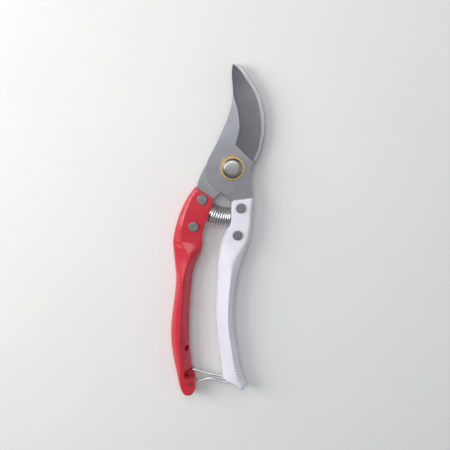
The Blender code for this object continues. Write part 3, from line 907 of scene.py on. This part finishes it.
@dataclass(frozen=True)
class CuttingBlade(SubAssembly):
    """The convex blade: satin flats, a hollow-ground front and a tang held by two rivets."""

    flat: Finish
    rim: float = 0.16
    edge_land: float = 0.45      # what the grind leaves at the edge
    past_edge: float = 0.3
    overrun: float = 3.0
    bore: float = 4.3

    tip = (-3.5, 59.1)
    edge = (tip, (0.8, 55.9), (4.7, 50.9), (8.4, 46.2), (11.2, 41.2), (12.9, 36.6), (14.5, 29.0),
            (15.2, 22.6), (14.7, 14.6), (13.5, 9.6), (11.8, 3.9))
    grind_start = ((-11.2, 62.6), (-7.4, 56.6), (-4.6, 50.8), (-2.9, 45.4), (-1.7, 40.2), (0.1, 35.6),
                   (1.6, 29.7), (2.4, 23.7), (1.7, 17.8), (1.2, 15.6), (0.7, 13.5))
    grind_end = ((-5.2, 61.0), *edge[1:-1], (12.2, 3.6))
    spine = ((-15.7, 0.0), (-14.4, 4.0), (-10.7, 12.3), (-7.4, 20.5), (-4.9, 27.2), (-3.4, 32.9),
             (-2.5, 38.5), (-2.5, 44.3), (-3.2, 49.5), (-3.8, 54.3), tip)
    throat = ((11.8, 3.9), (11.0, -0.8), (10.7, -4.0), (10.9, -8.0), (11.7, -12.0), (12.6, -16.5))
    tang = ((12.6, -16.5), (12.4, -22.0), (12.2, -31.0), (11.4, -40.0), (9.8, -45.5), (5.6, -47.5),
            (2.4, -45.8), (1.8, -40.0), (3.0, -34.0), (3.1, -26.5), (2.0, -22.6), (0.6, -20.2))
    boss = ((0.6, -20.2), (-1.5, -18.2), (-3.6, -16.4), (-7.1, -14.4), (-9.8, -12.7), (-12.2, -10.2),
            (-13.9, -7.6), (-15.2, -4.4), (-15.7, 0.0))

    def hollow(self, top: float, thickness: float) -> Blank:
        """Shapes what the wheel takes from the front of the blade.

        Args:
            top: Height of the blade's upper face.
            thickness: The blade's thickness.

        Returns:
            The wheel's cut.
        """
        drop = thickness - self.edge_land
        hollow = ((0.0, 0.0), (0.08, -0.14), (0.3, -0.39), (0.65, -0.73), (1.0, -1.0))
        profile = [(0.0, 1.5), *fine_half(hollow, 4)]
        rings = []
        for start, end in zip(curve_through(self.grind_start, 1.0), self.ends(1.0)):
            start, end = Vector(start), Vector(end)
            edge = end + (end - start).normalized() * self.past_edge
            run = edge - start
            ring = [Vector((*(start + run * share), top + drop * fall)) for share, fall in profile]
            beyond = edge + run.normalized() * self.overrun
            ring += [Vector((*beyond, top - drop)), Vector((*beyond, top + 1.5 * drop))]
            rings.append(ring)
        return Blank.skin(rings)

    def ends(self, spacing: float) -> list[Flat]:
        """Draws the grind's lower line with as many points as its upper line.

        Args:
            spacing: The upper line's spacing.

        Returns:
            The lower line's points.
        """
        paired = [(*start, *end) for start, end in zip(self.grind_start, self.grind_end)]
        return [row[2:4] for row in curve_through(paired, spacing)]

    def build(self) -> bpy.types.Object:
        """Blanks the blade, grinds it, bores it and dresses it.

        Returns:
            The finished blade.
        """
        bottom, top = span("cutting_blade")
        shape = outline(self.edge, self.throat, self.tang, self.boss, self.spine)
        bores = [Blank.plate(circle((0, 0), self.bore, 64), bottom - 1, top + 1),
                 *rivet_holes(("white_rivet_upper", "white_rivet_lower"), bottom - 1, top + 1)]
        blank = Blank.plate(shape, bottom, top, self.rim).cut_by(self.hollow(top, top - bottom), *bores)
        piece = blank.piece("cutting_blade_ground", self.flat, 30.0)
        return self.fit(piece, Body.BLADE_SIDE, self.flat, "cutting_blade")


@dataclass(frozen=True)
class HookBlade(SubAssembly):
    """The hooked counter blade, keyed on the bolt's square neck."""

    flat: Finish
    rim: float = 0.3
    square: float = 4.3

    tip = (-2.8, 58.9)
    back = ((0.4, 59.3), (2.5, 57.3), (5.2, 53.9), (7.8, 50.6), (10.2, 47.6), (12.6, 43.3), (14.6, 38.9),
            (16.2, 33.4), (17.1, 28.4), (17.4, 22.9), (17.1, 18.4), (16.5, 14.2), (15.6, 9.6),
            (14.2, 5.8), (12.0, 2.6), (10.4, -2.0), (8.0, -7.0), (4.0, -11.0), (-0.6, -13.4), (-5.2, -15.4))
    tang_right = ((-5.2, -15.4), (-7.7, -16.9), (-9.9, -20.0), (-13.4, -24.0), (-15.0, -28.0),
                  (-15.8, -33.0), (-16.2, -38.0), (-16.9, -43.5), (-19.8, -45.6), (-24.0, -44.6),
                  (-25.6, -41.0), (-25.4, -34.0), (-24.0, -26.0), (-21.9, -18.5), (-20.2, -13.5))
    tang_left = ((-20.2, -13.5), (-20.0, -10.6), (-17.8, -3.9), (-15.4, 0.6), (-12.2, 5.2), (-8.6, 8.2),
                 (-4.0, 10.6), (0.8, 13.6), (5.0, 18.4), (7.7, 24.4), (8.5, 31.0), (7.4, 38.6),
                 (4.6, 46.4), (2.2, 51.4), (-0.6, 55.8), tip)

    def build(self) -> bpy.types.Object:
        """Blanks the hook, pierces it and dresses it.

        Returns:
            The finished hook.
        """
        bottom, top = span("hook_blade")
        shape = outline([self.tip, self.back[0]], self.back, self.tang_right, self.tang_left)
        half = self.square
        square = [(-half, -half), (half, -half), (half, half), (-half, half)]
        bores = [Blank.plate(square, bottom - 1, top + 1),
                 *rivet_holes(("red_rivet_upper", "red_rivet_lower"), bottom - 1, top + 1)]
        blank = Blank.plate(shape, bottom, top, self.rim).cut_by(*bores)
        piece = blank.piece("hook_blade_ground", self.flat, 30.0)
        return self.fit(piece, Body.HOOK_SIDE, self.flat, "hook_blade")


@dataclass(frozen=True)
class RivetSet(SubAssembly):
    """Four steel rivets with flat heads whose rims are slightly rounded."""

    finish: Finish
    head_thick: float = 0.7
    rim: float = 0.28
    shank_radius: float = 1.9

    def half_profile(self, node: str) -> list[Flat]:
        """Draws a rivet's outline from the middle of its lower head to the middle of its upper one.

        Args:
            node: The rivet's frame node.

        Returns:
            Points (radius, height).
        """
        bottom, top = span(node)
        _, radius = centre_and_radius(node)
        head = [(0, 0.0), (radius - self.rim, 0.0), (radius - 0.08, 0.08), (radius, self.rim),
                (radius, self.head_thick), (self.shank_radius, self.head_thick)]
        lower = [(r, bottom + h) for r, h in head]
        upper = [(r, top - h) for r, h in reversed(head)]
        return lower + upper

    def build(self) -> None:
        """Turns and fits all four."""
        for side, body in (("red", Body.HOOK_SIDE), ("white", Body.BLADE_SIDE)):
            for place in ("upper", "lower"):
                node = f"{side}_rivet_{place}"
                centre, _ = centre_and_radius(node)
                blank = Blank.turned(self.half_profile(node), centre, 56)
                self.fit(blank.piece(node + "_headed", self.finish, 20.0), body, self.finish, node)


@dataclass(frozen=True)
class PivotSet(SubAssembly):
    """The bolt with its square neck, the toothed locking ring and the cap nut."""

    steel: Finish
    brass: Finish
    shank: float = 3.95
    ring_bore: float = 4.3
    teeth: int = 40
    tooth_depth: float = 1.05
    tooth_lean: float = 0.22     # how far a tooth's tip leans round, as a share of its pitch
    tooth_rim: float = 0.08      # narrow, because a wider rounding would swallow the teeth's tips

    def bolt(self) -> None:
        """Turns the bolt, whose flat head has a faced ring and a lathe centre."""
        bottom, top = span("pivot_bolt")
        head_top = span("hook_blade")[0] - CLEARANCE
        _, radius = centre_and_radius("pivot_bolt")
        profile = [(0, bottom + 0.7), (0.45, bottom + 0.25), (0.7, bottom), (3.3, bottom),
                   (3.45, bottom + 0.12), (3.75, bottom + 0.12), (3.9, bottom), (radius - 0.7, bottom),
                   (radius - 0.3, bottom + 0.1), (radius - 0.1, bottom + 0.3), (radius, bottom + 0.65),
                   (radius, head_top - 0.3), (radius - 0.3, head_top), (self.shank, head_top),
                   (self.shank, top - 0.4), (self.shank - 0.4, top), (0, top)]
        piece = Blank.turned(profile, steps=96).piece("pivot_bolt_turned", self.steel)
        self.fit(piece, Body.HOOK_SIDE, self.steel, "pivot_bolt")

    def ring(self) -> None:
        """Cuts the locking ring, whose leaning teeth are thinned towards their tips."""
        bottom, top = span("toothed_ring")
        _, radius = centre_and_radius("toothed_ring")
        rim = []
        for tooth in range(self.teeth):
            for share, out in ((0.0, 0.0), (0.18, 0.3), (0.42, 1.0), (0.64, 1.0), (0.82, 0.3)):
                lean = self.tooth_lean * out
                angle = 2 * math.pi * (tooth + share + lean) / self.teeth
                reach = radius - self.tooth_depth * (1 - out)
                rim.append((reach * math.cos(angle), reach * math.sin(angle)))
        blank = Blank.plate(rim, bottom, top, self.tooth_rim)
        blank = blank.cut_by(Blank.plate(circle((0, 0), self.ring_bore, 64), bottom - 1, top + 1))
        self.fit(blank.piece("toothed_ring_cut", self.brass, 25.0), Body.HOOK_SIDE, self.brass,
                 "toothed_ring")

    def nut(self) -> None:
        """Turns the nut: a short collar, a tapered side and a barely crowned face."""
        bottom, top = span("pivot_nut")
        _, radius = centre_and_radius("pivot_nut")
        profile = [(0, top - 0.9), (4.25, top - 0.9), (4.25, bottom), (radius - 0.25, bottom),
                   (radius, bottom + 0.25), (radius, bottom + 1.0), (radius - 0.08, bottom + 1.2),
                   (4.95, top - 0.42), (4.78, top - 0.2), (4.5, top - 0.09), (3.4, top - 0.03), (0, top)]
        piece = Blank.turned(profile, steps=96).piece("pivot_nut_turned", self.steel)
        self.fit(piece, Body.HOOK_SIDE, self.steel, "pivot_nut")

    def build(self) -> None:
        """Makes all three."""
        self.bolt()
        self.ring()
        self.nut()


@dataclass(frozen=True)
class CoilSpring(SubAssembly):
    """The round wire spring that opens the handles, and the steel pegs that hold its ends."""

    finish: Finish
    peg_finish: Finish
    turns: float = 9.1
    radius: float = 5.55         # to the middle of the wire
    wire: float = 0.42
    points_per_turn: int = 40
    drill_radius: float = 3.3    # the peg's hole
    drill_depth: float = 3.8
    drill_start: float = 1.1     # how far outside the handle the drill starts
    seat_sunk: float = 0.7       # how far the end turn's seat lies inside the spring's end
    seat_depth: float = 2.0

    start = (-11.5, -27.8)
    bend = (-5.4, -29.7)
    end = (0.1, -29.9)

    @classmethod
    def seat(cls, side: Body) -> list[Blank]:
        """Makes the tools for one of the spring's seats.

        Args:
            side: The body whose handle is cut.

        Returns:
            The drill for the peg and the spot-facer for the spring's end turn.
        """
        corner = Vector((*cls.bend, MIDDLE))
        mouth = Vector((*(cls.start if side is Body.HOOK_SIDE else cls.end), MIDDLE))
        outward = (mouth - corner).normalized()
        drill = Blank.rod(mouth - outward * cls.drill_start, outward, cls.drill_radius, cls.drill_depth)
        facer = Blank.rod(mouth + outward * cls.seat_sunk, -outward, cls.radius + cls.wire + CLEARANCE,
                          cls.seat_depth)
        return [drill, facer]

    def route(self) -> list[Vector]:
        """Winds the wire about a gently bent axis, with its end turns closed up.

        Returns:
            The middle of the wire.
        """
        start, bend, end = (Vector((*p, MIDDLE)) for p in (self.start, self.bend, self.end))
        count = int(self.turns * self.points_per_turn)
        up = Vector((0, 0, 1))
        route = []
        for i in range(count + 1):
            wound = i / count
            t = wound - 0.022 * math.sin(2 * math.pi * wound)
            middle = (1 - t)**2 * start + 2 * t * (1 - t) * bend + t**2 * end
            ahead = ((1 - t) * (bend - start) + t * (end - bend)).normalized()
            angle = 2 * math.pi * self.turns * wound
            route.append(middle + self.radius * (math.cos(angle) * up + math.sin(angle) * up.cross(ahead)))
        return route

    def build(self) -> None:
        """Winds the spring in place of the frame's coil, fixes its place in its mesh, and dresses the pegs.
        """
        piece = Blank.sweep(self.route(), self.wire, 12).piece("coil_spring_wound", self.finish, 60.0)
        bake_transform(piece)
        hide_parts("coil_spring")
        log.info("coil spring: %d faces", len(piece.data.polygons))
        for node in ("red_spring_peg", "white_spring_peg"):
            dress(node, self.peg_finish)


@dataclass(frozen=True)
class WireCatch(SubAssembly):
    """The bent wire that holds the handles shut, and the pin it turns on."""

    finish: Finish
    pin_finish: Finish
    wire: float = 0.75
    eye_radius: float = 2.1
    eye_start: float = 25.0      # where the wire's free end lies round the pin, in degrees
    eye_sweep: float = 275.0

    loop = ((-14.4, -135.1), (-12.6, -134.2), (-9.4, -132.8), (-6.6, -132.0), (-3.6, -132.3),
            (0.4, -133.5), (3.8, -133.9), (5.7, -133.2), (6.3, -131.6), (6.0, -129.8), (5.1, -129.0),
            (4.2, -129.5), (3.1, -130.2), (0.6, -130.1), (-3.6, -129.4), (-7.2, -128.9),
            (-11.4, -128.0), (-15.4, -127.0), (-17.2, -126.6))

    def route(self) -> list[Vector]:
        """Bends the wire: an eye round the pin, then the waisted loop.

        Returns:
            The middle of the wire.
        """
        eye = []
        steps = 40
        for i in range(steps):
            angle = math.radians(self.eye_start + self.eye_sweep * i / (steps - 1))
            eye.append((PIN.x + self.eye_radius * math.cos(angle), PIN.y + self.eye_radius * math.sin(angle)))
        return [Vector((x, y, MIDDLE)) for x, y in eye + curve_through(self.loop, 0.4)]

    def build(self) -> None:
        """Bends the wire and dresses the pin."""
        piece = Blank.sweep(self.route(), self.wire, 16).piece("catch_wire_bent", self.finish, 60.0)
        self.fit(piece, Body.CATCH, self.finish, "catch_wire")
        dress("catch_pin", self.pin_finish)


def dress(node: str, finish: Finish) -> None:
    """Gives a frame node that keeps its shape a better finish.

    Args:
        node: The node's name.
        finish: Its finish.
    """
    mesh = frame["nodes"][node].data
    mesh.materials.clear()
    mesh.materials.append(finish.material())
    log.info("%s: kept, %s", node, finish.name)


# ---- studio ----------------------------------------------------------------------------------------

@dataclass(frozen=True)
class Lamp:
    """One soft box."""

    name: str
    place: Colour      # metres from the middle of the view
    size: Flat
    watts: float
    tint: Colour = (1.0, 1.0, 1.0)


@dataclass(frozen=True)
class Studio:
    """A pale table, soft boxes and the camera."""

    aim: Colour = (5.25, 7.48, 10.0)    # the middle of the view, in millimetres in the frame
    distance: float = 442.0            # from there to the camera
    tilt: float = 11.05                # how far the camera stands towards the blades, in degrees
    roll: float = 3.44                 # how far the tool leans clockwise
    lens: float = 59.8
    table: float = 1.5
    sky: Colour = (0.25, 0.255, 0.265)
    lamps: tuple[Lamp, ...] = (
        Lamp("key", (-0.6, 0.15, 0.4), (0.4, 0.6), 4.6, (1.0, 0.985, 0.96)),
        Lamp("over", (-0.1, 0.4, 0.85), (0.5, 0.9), 3.8),
        Lamp("side", (0.7, -0.1, 0.4), (0.3, 0.6), 0.25, (0.92, 0.96, 1.0)),
    )

    def floor(self) -> None:
        """Lays the table top."""
        bm = bmesh.new()
        bmesh.ops.create_grid(bm, x_segments=1, y_segments=1, size=self.table)
        mesh = bpy.data.meshes.new("table_top")
        bm.to_mesh(mesh)
        bm.free()
        sheet = NodeSheet("pale_table")
        sheet.set(roughness=0.7)
        clouds = sheet.noise(sheet.place((0.05,) * 3), detail=4.0)
        sheet.join(sheet.blend(clouds, (0.8, 0.8, 0.8), (0.77, 0.77, 0.77)), "Base Color")
        mesh.materials.append(sheet.material)
        top = bpy.data.objects.new("table_top", mesh)
        bpy.context.scene.collection.objects.link(top)

    def light(self) -> None:
        """Hangs the soft boxes and lights the room."""
        aim = Vector(self.aim) * MM
        for lamp in self.lamps:
            data = bpy.data.lights.new(lamp.name, "AREA")
            data.shape = "RECTANGLE"
            data.size, data.size_y = lamp.size
            data.energy = lamp.watts
            data.color = lamp.tint
            obj = bpy.data.objects.new(lamp.name, data)
            obj.location = aim + Vector(lamp.place)
            obj.rotation_euler = (-Vector(lamp.place)).to_track_quat("-Z", "Y").to_euler()
            bpy.context.scene.collection.objects.link(obj)
        world = bpy.data.worlds.new("room")
        world.use_nodes = True
        world.node_tree.nodes["Background"].inputs["Color"].default_value = (*self.sky, 1.0)
        bpy.context.scene.world = world
        bpy.context.scene.view_settings.view_transform = "Standard"

    def camera(self) -> None:
        """Sets the camera up over the tool."""
        tilt, roll = math.radians(self.tilt), math.radians(self.roll)
        up = Vector((-math.sin(roll), math.cos(roll), 0))
        back = (Vector((0, 0, math.cos(tilt))) + up * math.sin(tilt)).normalized()
        right = up.cross(back).normalized()
        upright = back.cross(right)
        data = bpy.data.cameras.new("camera")
        data.lens = self.lens
        data.sensor_width = 36.0
        obj = bpy.data.objects.new("camera", data)
        turn = Matrix((right, upright, back)).transposed().to_4x4()
        obj.matrix_world = Matrix.Translation((Vector(self.aim) + back * self.distance) * MM) @ turn
        bpy.context.scene.collection.objects.link(obj)
        bpy.context.scene.camera = obj

    def build(self) -> None:
        """Makes the table, the light and the camera."""
        self.floor()
        self.light()
        self.camera()


# ---- the tool --------------------------------------------------------------------------------------

RED = Enamel("red_enamel", "red_paint", (0.52, 0.014, 0.032), (0.58, 0.032, 0.055))
WHITE = Enamel("white_enamel", "white_paint", (0.76, 0.77, 0.84), (0.7, 0.71, 0.79))
BLADE_SATIN = BrushedSteel("blade_satin", "blade_steel", (0.33, 0.34, 0.365), (0.27, 0.28, 0.305), turn=62)
HOOK_SATIN = BrushedSteel("hook_satin", "hook_steel", (0.4, 0.41, 0.43), (0.33, 0.34, 0.355), turn=80)
RIVET_STEEL = TurnedMetal("rivet_face", "rivet_steel", (0.28, 0.285, 0.3), (0.21, 0.215, 0.225),
                          roughness=(0.42, 0.58))
NUT_STEEL = TurnedMetal("nut_face", "nut_steel", (0.39, 0.385, 0.38), (0.34, 0.335, 0.33),
                        centre=(BOLT.x, BOLT.y), roughness=(0.26, 0.34))
BRASS = TurnedMetal("ring_brass", "brass", (0.78, 0.55, 0.22), (0.6, 0.4, 0.14),
                    centre=(BOLT.x, BOLT.y), roughness=(0.24, 0.36))
BRIGHT_WIRE = BrushedSteel("bright_wire", "spring_steel", (0.86, 0.86, 0.88), (0.7, 0.7, 0.73),
                           roughness=(0.22, 0.32), line=0.00008, run=0.002, depth=0.0000015, cloud=0.004)

RED_STATIONS = tuple(Station(*row) for row in (
    ((-20.9, -12.5), (-9.7, -19.1), 0.5, 1.0), ((-24.2, -17.4), (-10.7, -22.5), 0.5, 1.0, 0.01),
    ((-27.0, -22.9), (-11.8, -26.3), 0.5, 1.0, 0.03), ((-29.3, -29.0), (-13.1, -31.0), 0.5, 1.0, 0.06),
    ((-31.1, -35.8), (-14.7, -36.6), 0.6, 1.0, 0.09), ((-32.2, -42.0), (-15.4, -42.5), 0.8, 1.0, 0.12),
    ((-32.5, -45.3), (-15.2, -45.4), 0.86, 1.0, 0.12), ((-32.6, -47.5), (-15.1, -47.6), 0.88, 0.78, 0.1),
    ((-32.4, -50.0), (-15.3, -49.8), 0.82, 0.5), ((-32.0, -52.8), (-15.8, -52.4), 0.69, 0.25),
    ((-31.3, -57.5), (-17.7, -57.5), 0.66, 0.05), ((-30.4, -64.0), (-19.4, -64.0), 0.55, 0.0),
    ((-30.0, -71.0), (-20.1, -71.0), 0.47, 0.0), ((-30.4, -80.0), (-20.4, -80.0), 0.51, 0.0),
    ((-31.2, -90.0), (-20.5, -90.0), 0.55, 0.0), ((-31.6, -100.0), (-20.2, -100.0), 0.55, 0.0),
    ((-31.0, -109.5), (-19.6, -109.5), 0.5, 0.0), ((-29.4, -118.0), (-18.5, -117.5), 0.475, 0.0),
    ((-27.5, -125.0), (-17.0, -125.0), 0.44, 0.2), ((-25.8, -131.5), (-15.2, -131.0), 0.42, 0.8),
    ((-24.4, -136.5), (-14.4, -136.0), 0.4, 1.0), ((-22.9, -140.0), (-15.4, -139.7), 0.4, 1.0),
    ((-20.6, -142.7), (-17.6, -142.7), 0.4, 1.0)))
WHITE_STATIONS = tuple(Station(*row) for row in (
    ((13.7, -16.9), (1.5, -19.2), 0.5, 1.0), ((13.4, -20.5), (0.8, -21.3), 0.5, 1.0),
    ((13.2, -25.0), (0.8, -26.0), 0.5, 1.0), ((13.3, -31.0), (0.9, -31.5), 0.5, 1.0),
    ((13.1, -37.0), (-1.5, -37.5), 0.5, 1.0, 0.0, 0.08), ((12.5, -42.5), (-3.5, -43.0), 0.55, 1.0, 0.0, 0.11),
    ((11.1, -48.0), (-4.8, -48.5), 0.6, 0.75, 0.0, 0.12), ((9.3, -54.5), (-5.3, -55.0), 0.5, 0.35, 0.0, 0.1),
    ((7.8, -60.5), (-5.3, -61.0), 0.4, 0.08), ((6.9, -67.0), (-5.1, -67.0), 0.34, 0.0),
    ((6.2, -74.0), (-5.0, -74.0), 0.32, 0.0), ((5.9, -81.0), (-4.9, -81.0), 0.31, 0.0),
    ((6.1, -89.0), (-4.6, -89.0), 0.31, 0.0), ((6.8, -96.5), (-4.0, -96.0), 0.31, 0.0),
    ((8.2, -104.0), (-2.9, -103.5), 0.31, 0.0), ((10.0, -112.0), (-1.6, -111.0), 0.31, 0.0),
    ((12.1, -120.5), (-0.1, -118.5), 0.33, 0.1), ((14.3, -127.3), (1.2, -125.0), 0.36, 0.3),
    ((16.3, -131.8), (2.1, -130.6), 0.4, 0.5), ((16.7, -135.2), (2.9, -134.4), 0.42, 0.5),
    ((15.4, -137.7), (4.5, -137.7), 0.46, 0.5)))


def main() -> None:
    """Builds the studio and every sub-assembly in order."""
    logging.basicConfig(level=logging.INFO, format="%(name)s: %(message)s")
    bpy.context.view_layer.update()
    Studio().build()
    RedHandle("red_handle", Body.HOOK_SIDE, RED, RED_STATIONS,
              ("red_rivet_upper", "red_rivet_lower"), rib_from=-66.0, rib_to=-120.0).build()
    WhiteHandle("white_handle", Body.BLADE_SIDE, WHITE, WHITE_STATIONS,
                ("white_rivet_upper", "white_rivet_lower"), rib_from=-66.0, rib_to=-133.0,
                rib_reach=0.33, rib_depth=0.5).build()
    CuttingBlade(BLADE_SATIN).build()
    HookBlade(HOOK_SATIN).build()
    RivetSet(RIVET_STEEL).build()
    PivotSet(NUT_STEEL, BRASS).build()
    CoilSpring(BRIGHT_WIRE, NUT_STEEL).build()
    WireCatch(BRIGHT_WIRE, RIVET_STEEL).build()


if __name__ == "__main__":
    main()
